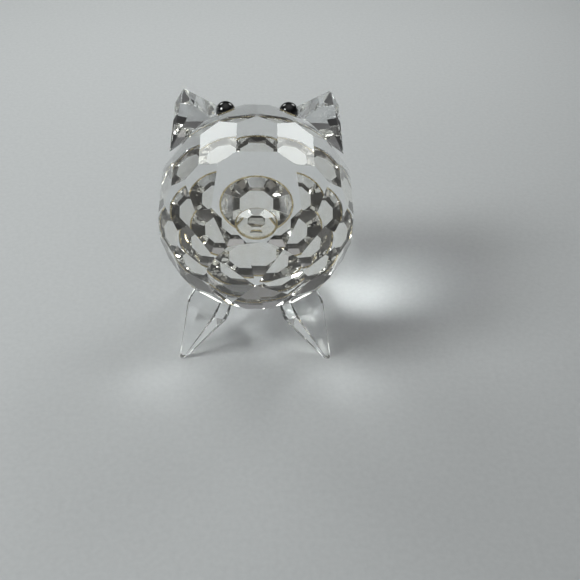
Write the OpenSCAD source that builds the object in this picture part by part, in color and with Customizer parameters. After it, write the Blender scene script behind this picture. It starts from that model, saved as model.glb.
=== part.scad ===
// Faceted crystal pig figurine: a cut ball body with bonded ears, eyes, snout, tail and legs.
// The pig faces -Y with +Z up. Its four feet stand on Z = 0 around the origin.

/* [Body] */
// Radius of the cut ball at its belt
ball_r = 20; // [19:0.5:22]
// Front half-length of the body as a multiple of its radius
front_stretch = 1.3; // [1.2:0.02:1.36]
// Rear half-length of the body as a multiple of its radius
rear_stretch = 1; // [0.97:0.01:1.04]
// Number of facets around the belt
belt_facets = 16; // [12:4:20]
// Upward tilt of the body, nose up, in degrees
nose_up = 10; // [6:1:12]
// Height of the ball's centre above the surface it stands on
centre_h = 28.4; // [27:0.1:30]
// Distance of the ball's centre behind the middle of the whole pig
centre_y = 2.2; // [0:0.1:4]

/* [Snout] */
// Width of the oval snout where it is bonded to the body
snout_w = 15.2; // [12:0.1:15.6]
// Height of the oval snout where it is bonded to the body
snout_h = 11.8; // [10:0.1:13]
// Length of the snout from the body to its front table
snout_len = 4.8; // [3:0.1:6]
// Width of the octagonal front table
snout_table_w = 7.2; // [6:0.1:9]
// Angle of the snout seat below the body's axis
snout_drop = 45; // [42:1:47]

/* [Tail] */
// Width of the tail bud at its foot
tail_w = 7.4; // [5:0.1:8]
// Height of the tail bud at its foot
tail_h = 5.4; // [4:0.1:6]
// How far the tail bud stands out
tail_len = 2.8; // [2:0.1:4]
// Width of the tail bud's table
tail_table_w = 3.2; // [2.4:0.1:4]
// Angle of the tail seat above the body's axis
tail_rise = 54; // [52:1:56]

/* [Ears] */
// Length of the ear along the body
ear_side = 14.4; // [12:0.1:15]
// Height of the ear above its foot
ear_h = 8; // [6.5:0.1:8.6]

/* [Eyes] */
// Radius of each eye bead
eye_r = 2.1; // [1.8:0.1:2.3]

/* [Legs] */
// Radius of a leg at its girdle
leg_r = 4.9; // [4.4:0.1:5.1]
// Number of facets around a leg
leg_facets = 8; // [6:1:12]
// Radius of a foot at its tip
toe_r = 0.5; // [0.4:0.05:0.8]

/* [Adhesive] */
// Thickness of the adhesive film in each joint
bond_t = 0.15; // [0.1:0.05:0.25]

/* [Hidden] */

blank = 3.2 * ball_r;
half = belt_facets / 2;

// Rows of body facets from the belt to a pole: latitude, facets in the row, stagger in facets.
front_rows = [[18, belt_facets, 0.5], [36, belt_facets, 0], [54, half, 0.25], [72, half, 0.75]];
rear_rows = [[27, belt_facets, 0.5], [49, belt_facets, 0], [76, half, 0.75]];

// Each joint sits on a flat ground on the body. Depths are multiples of ball_r.
belt_depth = 0.99;
snout_depth = 0.93;
tail_depth = 0.92;
leg_depth = 0.965;
ear_depth = 1.065;
eye_depth = 1.07;

// Directions from the ball's centre. Those of the legs are upright, the others tilt with the body.
snout_dir = [0, -cos(snout_drop), -sin(snout_drop)];
tail_dir = [0, cos(tail_rise), sin(tail_rise)];
ear_dir = [0.67, -0.506, 0.542];
ear_along = [-0.742, -0.457, 0.49];
eye_dir = [0.36, -0.51, 0.78];
front_leg_dir = [0.44, -0.4, -0.8];
rear_leg_dir = [0.44, 0.365, -0.8];

// The tail bud sits below the middle of its seat.
tail_shift = 0.28 * ball_r;

// In ear lengths: the point of the ear's foot over the middle of its seat, and the film's place and radius.
ear_hold = 0.55;
ear_film_at = -0.083;
ear_film_r = 0.17;

girdle_t = 1.3;
crown_t = 2.2;
crown_in = 0.5;
bond_lip = 0.35;
film_fill = 0.9;
round_fn = 96;
gem_fn = 48;

function unit(v) = v / norm(v);
function support(lat, stretch) = norm([cos(lat), stretch * sin(lat)]);
function ear_across() = cross(unit(ear_along), unit(ear_dir));
function stretched(v) = [v[0], v[1] * pow(v[1] < 0 ? front_stretch : rear_stretch, 2), v[2]];
function seat_middle(v, depth) = ball_r * depth * stretched(v) * norm(v) / (v * stretched(v));
function facet_dir(turn, lat, side) = [cos(lat) * sin(turn), side * sin(lat), cos(lat) * cos(turn)];

// Carries a child from the ball's centre to its place above the feet, without the tilt.
module upright() {
    translate([0, centre_y, centre_h]) children();
}

// Carries a child from the ball's own frame to its tilted place above the feet.
module tilted() {
    upright() rotate([-nose_up, 0, 0]) children();
}

// Turns a child's +Z to the direction v from the ball's centre and moves it out by dist.
module toward(v, dist) {
    rotate([0, acos(unit(v)[2]), atan2(v[1], v[0])]) translate([0, 0, dist]) children();
}

// The space beyond a flat that faces v at dist from the ball's centre.
module beyond(v, dist) {
    toward(v, dist) translate([-blank, -blank, 0]) cube(2 * blank);
}

module mirrored(side) {
    if (side > 0) {
        children();
    } else {
        mirror([1, 0, 0]) children();
    }
}

// The convex stone that has these corners.
module gem(corners) {
    hull() polyhedron(points = corners, faces = [[for (i = [0 : len(corners) - 1]) i]]);
}

// One ring of facets around the body's axis, on the front (side = -1) or the rear (side = 1).
module cut_row(row, stretch, side) {
    lat = row[0];
    count = row[1];
    for (i = [0 : count - 1]) {
        beyond(facet_dir((i + row[2]) * 360 / count, lat, side), ball_r * support(lat, stretch));
    }
}

module faceted_ball() {
    difference() {
        cube(blank, center = true);
        for (i = [0 : belt_facets - 1]) beyond(facet_dir(i * 360 / belt_facets, 0, 1), ball_r * belt_depth);
        for (row = front_rows) cut_row(row, front_stretch, -1);
        for (row = rear_rows) cut_row(row, rear_stretch, 1);
        beyond([0, -1, 0], ball_r * front_stretch * 0.97);
        beyond(snout_dir, ball_r * snout_depth);
        beyond(tail_dir, ball_r * tail_depth);
        for (side = [-1, 1]) mirrored(side) {
            beyond(ear_dir, ball_r * ear_depth);
            beyond(eye_dir, ball_r * eye_depth);
        }
    }
}

module body() {
    color("aliceblue") difference() {
        tilted() faceted_ball();
        upright() for (side = [-1, 1]) mirrored(side) {
            beyond(front_leg_dir, ball_r * leg_depth);
            beyond(rear_leg_dir, ball_r * leg_depth);
        }
    }
}

// An oval stone with a straight girdle, eight sloping facets and an octagonal table.
module cut_oval(w, h, len, girdle, table_w) {
    octagon_r = 1 / cos(22.5);
    color("aliceblue") scale([h / w, 1, 1]) intersection() {
        cylinder(d = w, h = len, $fn = gem_fn);
        rotate([0, 0, 22.5]) hull() {
            cylinder(d = w * octagon_r, h = girdle, $fn = 8);
            cylinder(d = table_w * octagon_r, h = len, $fn = 8);
        }
    }
}

// Places a child on the snout seat, in the seat's own plane, lift away from it.
module on_snout_seat(lift) {
    tilted() toward(snout_dir, ball_r * snout_depth + lift) children();
}

// Places a child on the tail seat, in the seat's own plane, lift away from it.
module on_tail_seat(lift) {
    tilted() toward(tail_dir, ball_r * tail_depth + lift) translate([tail_shift, 0, 0]) children();
}

// The outline of a film with a narrow lip all round an oval stone.
module oval_film(w, h) {
    color("khaki") linear_extrude(bond_t) scale([(h + 2 * bond_lip) / (w + 2 * bond_lip), 1])
        circle(d = w + 2 * bond_lip, $fn = round_fn);
}

module snout() {
    on_snout_seat(bond_t) cut_oval(snout_w, snout_h, snout_len, girdle_t, snout_table_w);
}

module tail() {
    on_tail_seat(bond_t) cut_oval(tail_w, tail_h, tail_len, girdle_t, tail_table_w);
}

// A three-sided stone with a stepped top. Its corners run along the ear, across it and out from the body.
module ear(side) {
    out = unit(ear_dir);
    along = unit(ear_along);
    across = ear_across();
    foot = seat_middle(ear_dir, ear_depth) + out * bond_t - along * ear_hold * ear_side;
    shape = [[0, 0.28, 0], [1, 0, 0], [0.74, -0.58, 0], [0.53, 0.07, 0.89], [0.67, -0.28, 0.62], [0.76, 0.17, 1]];
    color("aliceblue") tilted() mirrored(side)
        gem([for (p = shape) foot + along * p[0] * ear_side + across * p[1] * ear_side + out * p[2] * ear_h]);
}

// Places a child over the middle of an eye seat, lift away from it.
module on_eye_seat(side, lift) {
    tilted() mirrored(side) translate(seat_middle(eye_dir, eye_depth)) toward(eye_dir, lift) children();
}

// A domed bead with a flat back.
module eye(side) {
    color("black") on_eye_seat(side, bond_t) rotate_extrude($fn = round_fn)
        intersection() {
            circle(r = eye_r, $fn = round_fn);
            square(eye_r);
        }
}

// A tapered stone from its seat on the body to a toe ground flat on the surface.
module leg(dir, side) {
    reach = centre_h * norm(dir) / -dir[2] - ball_r * leg_depth - bond_t;
    color("aliceblue") difference() {
        upright() mirrored(side) toward(dir, ball_r * leg_depth + bond_t) rotate([0, 0, 180 / leg_facets]) hull() {
            cylinder(r = leg_r - crown_in, h = crown_t, $fn = leg_facets);
            translate([0, 0, crown_t]) cylinder(r = leg_r, h = girdle_t, $fn = leg_facets);
            translate([0, 0, reach]) cylinder(r = toe_r, h = toe_r, $fn = leg_facets);
        }
        translate([-blank, -blank, -2 * blank]) cube(2 * blank);
    }
}

// A round film of adhesive.
module film(radius) {
    color("khaki") cylinder(r = radius, h = bond_t, $fn = round_fn);
}

module snout_bond() {
    on_snout_seat(0) oval_film(snout_w, snout_h);
}

module tail_bond() {
    on_tail_seat(0) oval_film(tail_w, tail_h);
}

module ear_bond(side) {
    middle = seat_middle(ear_dir, ear_depth) + ear_across() * ear_film_at * ear_side;
    tilted() mirrored(side) translate(middle) toward(ear_dir, 0) film(ear_film_r * ear_side);
}

module eye_bond(side) {
    on_eye_seat(side, 0) film(film_fill * eye_r);
}

module leg_bond(dir, side) {
    upright() mirrored(side) toward(dir, ball_r * leg_depth) film(film_fill * (leg_r - crown_in));
}

body();
snout();
tail();
ear(1);  // ear_left
ear(-1);  // ear_right
eye(1);  // eye_left
eye(-1);  // eye_right
leg(front_leg_dir, 1);  // leg_front_left
leg(front_leg_dir, -1);  // leg_front_right
leg(rear_leg_dir, 1);  // leg_rear_left
leg(rear_leg_dir, -1);  // leg_rear_right
snout_bond();
tail_bond();
ear_bond(1);  // ear_bond_left
ear_bond(-1);  // ear_bond_right
eye_bond(1);  // eye_bond_left
eye_bond(-1);  // eye_bond_right
leg_bond(front_leg_dir, 1);  // leg_bond_front_left
leg_bond(front_leg_dir, -1);  // leg_bond_front_right
leg_bond(rear_leg_dir, 1);  // leg_bond_rear_left
leg_bond(rear_leg_dir, -1);  // leg_bond_rear_right
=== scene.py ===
import math

import bmesh
import bpy
from mathutils import Matrix, Vector
from mathutils.geometry import delaunay_2d_cdt


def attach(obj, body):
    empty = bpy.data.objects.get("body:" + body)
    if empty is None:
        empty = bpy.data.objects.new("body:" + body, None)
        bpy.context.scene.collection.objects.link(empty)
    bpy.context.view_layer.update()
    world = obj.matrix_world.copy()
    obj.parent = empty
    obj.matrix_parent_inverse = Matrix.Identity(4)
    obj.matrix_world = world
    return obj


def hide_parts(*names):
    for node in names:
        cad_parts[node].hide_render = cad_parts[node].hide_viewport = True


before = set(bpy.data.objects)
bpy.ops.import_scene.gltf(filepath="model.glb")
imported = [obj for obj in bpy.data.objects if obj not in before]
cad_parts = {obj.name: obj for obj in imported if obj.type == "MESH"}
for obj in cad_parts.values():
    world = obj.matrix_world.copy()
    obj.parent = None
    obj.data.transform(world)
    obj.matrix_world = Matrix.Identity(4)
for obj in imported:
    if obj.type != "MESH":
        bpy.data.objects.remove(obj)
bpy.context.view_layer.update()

MM = 0.001
EDGE_BREAK = 0.035 * MM              # the fine polish that takes the sharpness off a cut edge
BLUNT_EDGE = math.radians(3)         # edges that turn by less than this aren't cut edges
WELD = 0.002 * MM                    # corners of the CAD mesh this close are one corner
FLAT_TOL = math.radians(0.6)         # CAD faces that turn by less than this are one facet
PLANE_TOL = 0.004 * MM               # a point this close to a plane lies in it
PARALLEL = 0.9995                    # the least cosine between the normals of parallel faces
CUT_TOL = 0.001                      # in millimetres, where outlines are cut into each other
SHORTEST_EDGE = 0.003 * MM           # anything shorter is merged away after the edges are polished
LARGE_FACET = 0.5 * MM * MM          # smaller facets don't hold a corner in
CORNER_PASSES = 4                    # how often each corner is put back onto the large facets
VALID_FACES = 4                      # the Delaunay output whose faces bmesh accepts
WETTED_SLOT = 1                      # the material slot of the area where two pieces touch
CRYSTAL_IOR = 1.545
ADHESIVE_IOR = 1.5
BEAD_IOR = 1.52


# ---------------------------------------------------------------- materials

def new_material(name):
    """A material with an empty node tree and its output node."""
    mat = bpy.data.materials.new(name)
    mat.use_nodes = True
    nodes = mat.node_tree.nodes
    nodes.clear()
    out = nodes.new("ShaderNodeOutputMaterial")
    return mat, nodes, mat.node_tree.links, out


def noise(nodes, links, coords, scale, detail, stretch=(1, 1, 1)):
    """A noise texture in object space, with scale in features per metre."""
    mapping = nodes.new("ShaderNodeMapping")
    mapping.inputs["Scale"].default_value = stretch
    links.new(coords.outputs["Object"], mapping.inputs["Vector"])
    tex = nodes.new("ShaderNodeTexNoise")
    tex.inputs["Scale"].default_value = scale
    tex.inputs["Detail"].default_value = detail
    links.new(mapping.outputs["Vector"], tex.inputs["Vector"])
    return tex.outputs["Fac"]


def ramp(nodes, links, value, stops):
    """A colour ramp through (position, grey or colour) stops."""
    node = nodes.new("ShaderNodeValToRGB")
    node.color_ramp.elements[0].position = stops[0][0]
    node.color_ramp.elements[1].position = stops[-1][0]
    for where, _ in stops[1:-1]:
        node.color_ramp.elements.new(where)
    for element, (_, shade) in zip(node.color_ramp.elements, stops):
        rgb = shade if isinstance(shade, tuple) else (shade,) * 3
        element.color = (*rgb, 1)
    links.new(value, node.inputs["Fac"])
    return node.outputs["Color"]


def bump(nodes, links, height, distance, strength):
    """A normal that follows the height, with distance as its full rise in metres."""
    node = nodes.new("ShaderNodeBump")
    node.inputs["Strength"].default_value = strength
    node.inputs["Distance"].default_value = distance
    links.new(height, node.inputs["Height"])
    return node.outputs["Normal"]


def crystal_material():
    """Clear polished crystal: faint lap marks, fine dust and a few wiping marks on the facets."""
    mat, nodes, links, out = new_material("crystal")
    coords = nodes.new("ShaderNodeTexCoord")
    glass = nodes.new("ShaderNodeBsdfPrincipled")
    glass.inputs["Transmission Weight"].default_value = 1.0
    glass.inputs["IOR"].default_value = CRYSTAL_IOR
    dust = noise(nodes, links, coords, scale=2600, detail=6)
    dusty_to_clean = [(0.0, (0.95, 0.965, 0.97)), (0.62, (0.99, 0.995, 0.995)), (1.0, (1, 1, 1))]
    links.new(ramp(nodes, links, dust, dusty_to_clean), glass.inputs["Base Color"])
    marks = noise(nodes, links, coords, scale=420, detail=3, stretch=(1, 0.18, 1))
    clean_to_wiped = [(0.55, 0.0), (0.74, 0.018), (1.0, 0.05)]
    links.new(ramp(nodes, links, marks, clean_to_wiped), glass.inputs["Roughness"])
    laps = noise(nodes, links, coords, scale=260, detail=2, stretch=(1, 0.3, 1))
    links.new(bump(nodes, links, laps, distance=0.004 * MM, strength=0.25), glass.inputs["Normal"])
    links.new(glass.outputs["BSDF"], out.inputs["Surface"])
    return mat


def adhesive_material(name, tints):
    """Rough, see-through adhesive with a cloudy mottle in three tints, from dark to light."""
    mat, nodes, links, out = new_material(name)
    coords = nodes.new("ShaderNodeTexCoord")
    gum = nodes.new("ShaderNodeBsdfPrincipled")
    gum.inputs["Transmission Weight"].default_value = 1.0
    gum.inputs["IOR"].default_value = ADHESIVE_IOR
    mottle = noise(nodes, links, coords, scale=900, detail=5)
    dark_to_light = list(zip((0.3, 0.55, 0.8), tints))
    links.new(ramp(nodes, links, mottle, dark_to_light), gum.inputs["Base Color"])
    links.new(ramp(nodes, links, mottle, [(0.3, 0.15), (0.8, 0.5)]), gum.inputs["Roughness"])
    links.new(bump(nodes, links, mottle, distance=0.03 * MM, strength=0.5), gum.inputs["Normal"])
    links.new(gum.outputs["BSDF"], out.inputs["Surface"])
    return mat


def joint_material():
    """The wetted area of a joint, where crystal and adhesive touch and light goes straight on."""
    mat, nodes, links, out = new_material("wetted_joint")
    coords = nodes.new("ShaderNodeTexCoord")
    clear = nodes.new("ShaderNodeBsdfTransparent")
    film = noise(nodes, links, coords, scale=500, detail=3)
    warm_to_clear = [(0.3, (0.985, 0.98, 0.965)), (0.7, (0.998, 0.997, 0.993))]
    links.new(ramp(nodes, links, film, warm_to_clear), clear.inputs["Color"])
    links.new(clear.outputs["BSDF"], out.inputs["Surface"])
    return mat


def jet_material():
    """Black glass bead: deep black, glossy, with a little dust."""
    mat, nodes, links, out = new_material("jet")
    coords = nodes.new("ShaderNodeTexCoord")
    bead = nodes.new("ShaderNodeBsdfPrincipled")
    bead.inputs["IOR"].default_value = BEAD_IOR
    bead.inputs["Coat Weight"].default_value = 0.6
    bead.inputs["Coat Roughness"].default_value = 0.03
    dust = noise(nodes, links, coords, scale=3200, detail=6)
    black_to_dusty = [(0.6, (0.003, 0.003, 0.004)), (0.85, (0.03, 0.03, 0.032))]
    links.new(ramp(nodes, links, dust, black_to_dusty), bead.inputs["Base Color"])
    links.new(ramp(nodes, links, dust, [(0.4, 0.06), (0.9, 0.22)]), bead.inputs["Roughness"])
    links.new(bead.outputs["BSDF"], out.inputs["Surface"])
    return mat


def floor_material():
    """The pale floor: matt, very slightly mottled."""
    mat, nodes, links, out = new_material("pale_floor")
    coords = nodes.new("ShaderNodeTexCoord")
    matt = nodes.new("ShaderNodeBsdfPrincipled")
    matt.inputs["Specular IOR Level"].default_value = 0.2
    matt.inputs["Roughness"].default_value = 0.75
    grain = noise(nodes, links, coords, scale=900, detail=6)
    grey_to_pale = [(0.3, (0.60, 0.615, 0.625)), (0.7, (0.64, 0.655, 0.665))]
    links.new(ramp(nodes, links, grain, grey_to_pale), matt.inputs["Base Color"])
    links.new(bump(nodes, links, grain, distance=0.05 * MM, strength=0.5), matt.inputs["Normal"])
    links.new(matt.outputs["BSDF"], out.inputs["Surface"])
    return mat


CRYSTAL = crystal_material()
AMBER_TINTS = [(0.16, 0.10, 0.03), (0.42, 0.30, 0.11), (0.72, 0.58, 0.30)]
PALE_TINTS = [(0.88, 0.86, 0.78), (0.94, 0.93, 0.88), (0.98, 0.98, 0.95)]
YELLOWED = adhesive_material("yellowed_adhesive", AMBER_TINTS)
CLEAR = adhesive_material("clear_adhesive", PALE_TINTS)
JOINT = joint_material()
JET = jet_material()

# The joints: each adhesive film and what it holds on the body.
LEGS = ["front_left", "front_right", "rear_left", "rear_right"]
JOINTS = [("snout_bond", "snout"), ("tail_bond", "tail")]
JOINTS += [(f"ear_bond_{side}", f"ear_{side}") for side in ("left", "right")]
JOINTS += [(f"leg_bond_{leg}", f"leg_{leg}") for leg in LEGS]
EYES = [(f"eye_bond_{side}", f"eye_{side}") for side in ("left", "right")]
AGED_FILMS = ("snout_bond", "tail_bond", "eye_bond_left", "eye_bond_right")    # the yellowed ones


# ---------------------------------------------------------------- meshes

def cad_mesh(node):
    """The CAD node's surface with its triangles joined into whole facets."""
    bm = bmesh.new()
    bm.from_mesh(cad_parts[node].data)
    bmesh.ops.remove_doubles(bm, verts=bm.verts, dist=WELD)
    bmesh.ops.dissolve_limit(
        bm,
        angle_limit=FLAT_TOL,
        use_dissolve_boundaries=False,
        verts=bm.verts,
        edges=bm.edges,
        delimit=set(),
    )
    bmesh.ops.recalc_face_normals(bm, faces=bm.faces)
    bm.normal_update()
    return bm


def lies_in(face, plane):
    """True if the face lies in the plane, given as a point and a normal, whichever way it faces."""
    point, normal = plane
    if abs(face.normal.dot(normal)) < PARALLEL:
        return False
    return all(abs((v.co - point).dot(normal)) < PLANE_TOL for v in face.verts)


def joint_planes(bm_a, bm_b):
    """The planes in which a face of one mesh lies against a face of the other."""
    planes = []
    for fa in bm_a.faces:
        plane = (fa.calc_center_median(), fa.normal.copy())
        for fb in bm_b.faces:
            if fa.normal.dot(fb.normal) < -PARALLEL and lies_in(fb, plane):
                planes.append(plane)
                break
    return planes


def in_plane(plane):
    """Two functions for a plane: from a point in space to millimetres in the plane, and back."""
    origin, normal = plane
    u = normal.orthogonal().normalized()
    v = normal.cross(u)

    def flat(p):
        return Vector(((p - origin).dot(u), (p - origin).dot(v))) / MM

    def lifted(q):
        return origin + (u * q[0] + v * q[1]) * MM

    return flat, lifted


def anticlockwise(loop):
    """The loop of flat points, turned round if it runs clockwise."""
    area = sum(a.x * b.y - b.x * a.y for a, b in zip(loop, loop[1:] + loop[:1]))
    return loop if area > 0 else loop[::-1]


def imprint(bm, outlines, plane, slot):
    """Cuts the outlines into the faces of bm in the plane, and gives what is inside them a slot."""
    flat, lifted = in_plane(plane)
    for face in [f for f in bm.faces if lies_in(f, plane)]:
        corners_then_outlines = [[v.co for v in face.verts]] + outlines
        loops = [anticlockwise([flat(p) for p in loop]) for loop in corners_then_outlines]
        starts = [sum(len(loop) for loop in loops[:i]) for i in range(len(loops))]
        polygons = [list(range(start, start + len(loop))) for start, loop in zip(starts, loops)]
        points = [q for loop in loops for q in loop]
        cut = delaunay_2d_cdt(points, [], polygons, VALID_FACES, CUT_TOL)
        found, _, pieces, _, _, sources = cut
        outward = face.normal.copy()
        old_slot = face.material_index
        corners = [(v, flat(v.co)) for v in face.verts]
        bm.faces.remove(face)
        verts = []
        for q in found:
            near = [v for v, corner in corners if (corner - q).length < 2 * CUT_TOL]
            verts.append(near[0] if near else bm.verts.new(lifted(q)))
        for piece, source in zip(pieces, sources):
            ring = list(dict.fromkeys(verts[i] for i in piece))
            if 0 not in source or len(ring) < 3 or bm.faces.get(ring):
                continue
            made = bm.faces.new(ring)
            made.normal_update()
            if made.normal.dot(outward) < 0:
                made.normal_flip()
            made.material_index = slot if len(source) > 1 else old_slot
        for v in verts:
            if v.is_valid and not v.link_faces:
                bm.verts.remove(v)


def outline_in(bm, plane):
    """The outlines of the faces of bm that lie in the plane."""
    return [[v.co.copy() for v in f.verts] for f in bm.faces if lies_in(f, plane)]


def wet(bm_a, bm_b):
    """Marks the area where two pieces touch on both of them."""
    for plane in joint_planes(bm_a, bm_b):
        outlines_a = outline_in(bm_a, plane)
        outlines_b = outline_in(bm_b, plane)
        imprint(bm_a, outlines_b, plane, WETTED_SLOT)
        imprint(bm_b, outlines_a, plane, WETTED_SLOT)


def break_edges(bm, seats):
    """A narrow polished land along each cut edge, apart from those of the joints."""
    def is_cut(edge):
        return len(edge.link_faces) == 2 and edge.calc_face_angle() > BLUNT_EDGE

    def is_sealed(edge):
        return any(lies_in(f, plane) for f in edge.link_faces for plane in seats)

    large = [f for f in bm.faces if f.calc_area() > LARGE_FACET]
    flats = [(f.calc_center_median(), f.normal.copy()) for f in large]
    bmesh.ops.bevel(
        bm,
        geom=[e for e in bm.edges if is_cut(e) and not is_sealed(e)],
        offset=EDGE_BREAK,
        offset_type="OFFSET",
        segments=1,
        profile=0.5,
        affect="EDGES",
        clamp_overlap=True,
    )
    bmesh.ops.remove_doubles(bm, verts=bm.verts, dist=SHORTEST_EDGE)
    bmesh.ops.dissolve_degenerate(bm, dist=SHORTEST_EDGE, edges=bm.edges)
    # The bevel can push a corner out past the facets. The pieces are convex, so it goes back onto them.
    for v in bm.verts:
        for point, normal in CORNER_PASSES * flats:
            past = (v.co - point).dot(normal)
            if past > PLANE_TOL:
                v.co -= normal * past


def add_piece(name, bm, node, materials, smooth=False):
    """Turns a mesh into a named piece that stands for its CAD node."""
    mesh = bpy.data.meshes.new(name)
    bm.to_mesh(mesh)
    bm.free()
    for mat in materials:
        mesh.materials.append(mat)
    piece = bpy.data.objects.new(name, mesh)
    bpy.context.scene.collection.objects.link(piece)
    for polygon in mesh.polygons:
        polygon.use_smooth = smooth
    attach(piece, "root")
    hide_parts(node)


def build_crystals():
    """The cut stones and the adhesive films between them, with clear contact where they touch."""
    held = {stone: cad_mesh(stone) for _, stone in JOINTS}
    films = {film: cad_mesh(film) for film, _ in JOINTS}
    body = cad_mesh("body")
    eye_films = {film: cad_mesh(film) for film, _ in EYES}
    all_films = {**films, **eye_films}
    body_seats = [p for film in all_films.values() for p in joint_planes(body, film)]
    break_edges(body, body_seats)
    for film, stone in JOINTS:
        break_edges(held[stone], joint_planes(held[stone], films[film]))
    for film in all_films.values():
        wet(body, film)
    for film, stone in JOINTS:
        wet(films[film], held[stone])
    add_piece("cut_ball", body, "body", [CRYSTAL, JOINT])
    for film, stone in JOINTS:
        add_piece(f"cut_{stone}", held[stone], stone, [CRYSTAL, JOINT])
    for film, bm in all_films.items():
        adhesive = YELLOWED if film in AGED_FILMS else CLEAR
        add_piece(f"{film}_film", bm, film, [adhesive, JOINT])


def build_eyes():
    """The domed black beads, shaded smooth all over."""
    for film, eye in EYES:
        bm = cad_mesh(eye)
        add_piece(f"{eye}_bead", bm, eye, [JET], smooth=True)


# ---------------------------------------------------------------- camera, floor and light

BALL_R = 20 * MM
BALL_CENTRE = Vector((0, 2.2 * MM, 28.4 * MM))    # the middle of the body's belt, as in the CAD model
ELEVATION = math.radians(33)
DISTANCE = 10 * BALL_R
# Where the ball's centre sits in the view, in degrees right of and above the middle, and the roll.
OFF_RIGHT, OFF_UP, ROLL = -2.06, 4.58, 0.6
SENSOR = 36                          # in millimetres, as Blender's lens is
IMAGE_SIDE = 580
FOCAL_LENGTH = 954                   # in the same unit as the image's side
HALF_VIEW = math.atan(IMAGE_SIDE / 2 / FOCAL_LENGTH)
NEAREST_SEEN = 5 * MM

FLOOR_R = 4                          # in metres
FLOOR_SIDES = 96
FLOOR_DROP = 0.02 * MM               # keeps the floor clear of the feet's flat toes

DAYLIGHT = (0.97, 1.0, 0.98)
LIGHT_DISTANCE = 0.4                 # in metres, from the ball's centre
BEYOND_PIG = Vector((0, -130 * MM, 0))    # a point on the floor in front of the snout
# The room's grey by height, from the horizon at 0 to straight up at 1.
LOWER_GREYS = [(0.0, 0.22), (0.08, 0.19), (0.2, 0.05), (0.55, 0.025)]
UPPER_GREYS = [(0.75, 0.12), (0.9, 0.36), (1.0, 0.55)]


def add_camera():
    """The camera behind the pig and above it, with the ball a little off the middle of the view."""
    data = bpy.data.cameras.new("camera")
    data.sensor_width = SENSOR
    data.lens = SENSOR / 2 / math.tan(HALF_VIEW)
    data.clip_start = NEAREST_SEEN
    cam = bpy.data.objects.new("camera", data)
    bpy.context.scene.collection.objects.link(cam)
    back = Vector((0, math.cos(ELEVATION), math.sin(ELEVATION)))
    right = Vector((-1, 0, 0))
    up = back.cross(right)
    face_on = Matrix((right, up, back)).transposed()
    sideways = Matrix.Rotation(math.radians(OFF_RIGHT), 3, "Y")
    downwards = Matrix.Rotation(math.radians(-OFF_UP), 3, "X")
    turn = sideways @ downwards
    look = face_on @ turn @ Matrix.Rotation(math.radians(ROLL), 3, "Z")
    cam.matrix_world = Matrix.Translation(BALL_CENTRE + back * DISTANCE) @ look.to_4x4()
    bpy.context.scene.camera = cam


def add_floor():
    """A plain round floor, wide enough for its rim to be the horizon."""
    bm = bmesh.new()
    bmesh.ops.create_circle(bm, cap_ends=True, segments=FLOOR_SIDES, radius=FLOOR_R)
    mesh = bpy.data.meshes.new("floor")
    bm.to_mesh(mesh)
    bm.free()
    mesh.materials.append(floor_material())
    floor = bpy.data.objects.new("floor", mesh)
    bpy.context.scene.collection.objects.link(floor)
    floor.location.z = -FLOOR_DROP


def add_light(name, direction, target, size, spread, power):
    """A soft square light in a direction from the ball's centre, turned towards a target."""
    data = bpy.data.lights.new(name, "AREA")
    data.shape = "SQUARE"
    data.size = size
    data.spread = math.radians(spread)
    data.energy = power
    data.color = DAYLIGHT
    lamp = bpy.data.objects.new(name, data)
    bpy.context.scene.collection.objects.link(lamp)
    lamp.location = BALL_CENTRE + Vector(direction).normalized() * LIGHT_DISTANCE
    lamp.rotation_euler = (lamp.location - target).to_track_quat("Z", "Y").to_euler()


def add_room():
    """A dim room: pale at the horizon, dark above it, and lighter again overhead."""
    world = bpy.data.worlds.new("room")
    bpy.context.scene.world = world
    world.use_nodes = True
    nodes, links = world.node_tree.nodes, world.node_tree.links
    nodes.clear()
    out = nodes.new("ShaderNodeOutputWorld")
    sky = nodes.new("ShaderNodeBackground")
    coords = nodes.new("ShaderNodeTexCoord")
    split = nodes.new("ShaderNodeSeparateXYZ")
    links.new(coords.outputs["Generated"], split.inputs["Vector"])
    links.new(ramp(nodes, links, split.outputs["Z"], LOWER_GREYS + UPPER_GREYS), sky.inputs["Color"])
    sky.inputs["Strength"].default_value = 1.0
    links.new(sky.outputs["Background"], out.inputs["Surface"])


def set_light_paths():
    """Enough bounces for light to get through several stones, and colours shown as they are."""
    cycles = bpy.context.scene.cycles
    cycles.max_bounces = 32
    cycles.transmission_bounces = 32
    cycles.transparent_max_bounces = 32
    cycles.glossy_bounces = 16
    cycles.diffuse_bounces = 4
    cycles.blur_glossy = 0.0
    cycles.sample_clamp_indirect = 0.0
    bpy.context.scene.view_settings.view_transform = "Standard"


build_crystals()
build_eyes()
add_camera()
add_floor()
add_room()
add_light("window", (0.715, 0.273, 0.643), target=BALL_CENTRE, size=0.14, spread=180, power=0.85)
for side in (1, -1):
    direction = (0.472 * side, -0.695, 0.544)
    add_light(f"back_{side}", direction, target=BEYOND_PIG, size=0.13, spread=80, power=0.07)
set_light_paths()
